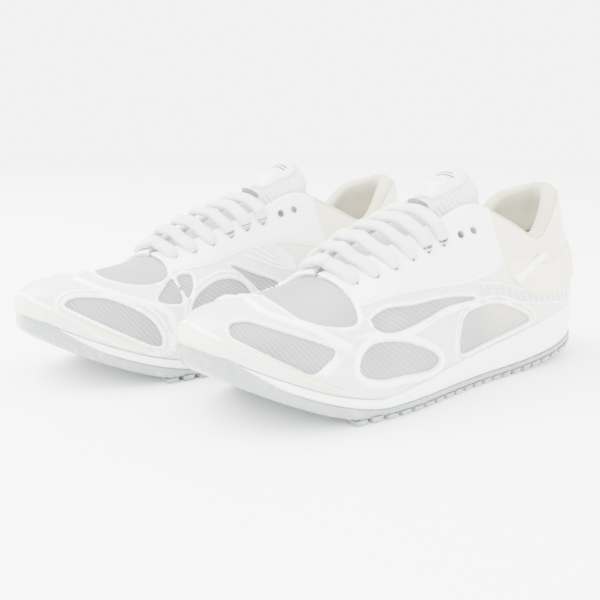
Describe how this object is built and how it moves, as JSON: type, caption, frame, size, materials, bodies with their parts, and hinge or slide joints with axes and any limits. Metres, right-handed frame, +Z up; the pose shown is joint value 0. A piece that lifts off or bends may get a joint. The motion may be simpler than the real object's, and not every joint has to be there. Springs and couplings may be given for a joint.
{
  "type": "pair of running sneakers",
  "caption": "Pair of low lace-up running sneakers with a mesh upper under translucent film, foam midsole, lugged rubber outsole, padded collar and tongue.",
  "frame": {"origin": "centre of the pair's bounding box, on the floor that the soles stand on", "axes": "+Z up, toes towards -Y, heels towards +Y, the left shoe at +X and the right shoe at -X, the right shoe 33 mm further forward"},
  "size_m": [0.2278, 0.3351, 0.1206],
  "materials": {
    "outsole_rubber": "translucent grey rubber",
    "midsole_foam": "white moulded foam",
    "fibre_board": "fibre board",
    "liner_fabric": "knitted cover",
    "mesh": "open mesh",
    "clear_film": "translucent satin film",
    "synthetic_leather": "smooth white",
    "cream_foam": "cream foam",
    "counter_plastic": "moulded stiffener",
    "collar_fabric": "padded knit",
    "lace_braid": "woven flat-oval braid",
    "tongue_fabric": "padded perforated fabric",
    "webbing": "woven webbing"
  },
  "bodies": {
    "left_shoe": {"left_outsole": "outsole_rubber", "left_midsole": "midsole_foam", "left_lasting_board": "fibre_board", "left_sock_liner": "liner_fabric", "left_vamp": "mesh", "left_toe_film": "clear_film", "left_quarter_lateral": "mesh", "left_quarter_medial": "mesh", "left_cage_lateral": "clear_film", "left_cage_medial": "clear_film", "left_eyestay_lateral": "synthetic_leather", "left_eyestay_medial": "synthetic_leather", "left_foam_welt_lateral": "cream_foam", "left_foam_welt_medial": "cream_foam", "left_toe_bumper": "outsole_rubber", "left_heel_counter": "counter_plastic", "left_collar_lining": "collar_fabric", "left_heel_tab": "synthetic_leather", "left_heel_clip": "cream_foam", "left_lace": "lace_braid"},
    "left_tongue": {"left_tongue": "tongue_fabric", "left_tongue_badge": "clear_film", "left_tongue_loop": "webbing"},
    "right_shoe": {"right_outsole": "outsole_rubber", "right_midsole": "midsole_foam", "right_lasting_board": "fibre_board", "right_sock_liner": "liner_fabric", "right_vamp": "mesh", "right_toe_film": "clear_film", "right_quarter_lateral": "mesh", "right_quarter_medial": "mesh", "right_cage_lateral": "clear_film", "right_cage_medial": "clear_film", "right_eyestay_lateral": "synthetic_leather", "right_eyestay_medial": "synthetic_leather", "right_foam_welt_lateral": "cream_foam", "right_foam_welt_medial": "cream_foam", "right_toe_bumper": "outsole_rubber", "right_heel_counter": "counter_plastic", "right_collar_lining": "collar_fabric", "right_heel_tab": "synthetic_leather", "right_heel_clip": "cream_foam", "right_lace": "lace_braid"},
    "right_tongue": {"right_tongue": "tongue_fabric", "right_tongue_badge": "clear_film", "right_tongue_loop": "webbing"}
  },
  "joints": [
    {"name": "right_shoe_lift", "type": "slide", "parent": "left_shoe", "child": "right_shoe", "axis": [0, 0, 1], "range_m": [0, 0.16]},
    {"name": "left_tongue_flex", "type": "hinge", "parent": "left_shoe", "child": "left_tongue", "pos_m": [0.058, -0.0425, 0.0635], "axis": [1, 0, 0], "range_deg": [-12, 0], "stiffness_Nm_per_rad": 0.15, "springref_deg": 9.74},
    {"name": "right_tongue_flex", "type": "hinge", "parent": "right_shoe", "child": "right_tongue", "pos_m": [-0.058, -0.0755, 0.0635], "axis": [1, 0, 0], "range_deg": [-12, 0], "stiffness_Nm_per_rad": 0.15, "springref_deg": 9.74}
  ]
}
